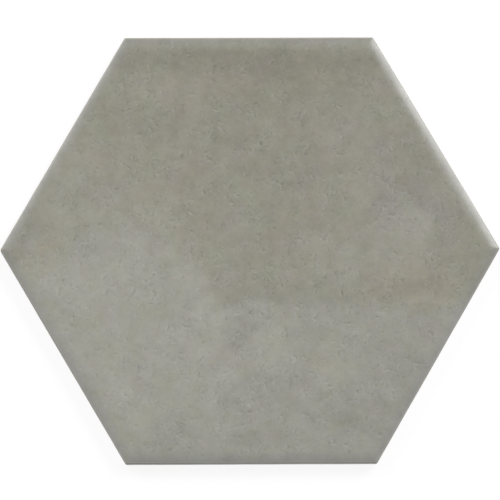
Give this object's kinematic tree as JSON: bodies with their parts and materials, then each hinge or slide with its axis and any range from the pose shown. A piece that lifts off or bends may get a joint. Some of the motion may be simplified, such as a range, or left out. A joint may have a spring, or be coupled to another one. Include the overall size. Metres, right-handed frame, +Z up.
{
  "type": "hexagon floor tile",
  "caption": "Flat regular hexagon floor tile in satin glazed porcelain with a stone-like face, cushioned edges, upright sides and a ribbed back.",
  "frame": {"origin": "middle of the back, in the plane that the tile rests on", "axes": "+Z up through the glazed face, +X towards a corner, +Y square to a side"},
  "size_m": [0.2496, 0.2164, 0.009],
  "materials": {
    "glazed_porcelain": "satin"
  },
  "bodies": {
    "root": {"hexagon_tile": "glazed_porcelain"}
  },
  "joints": []
}
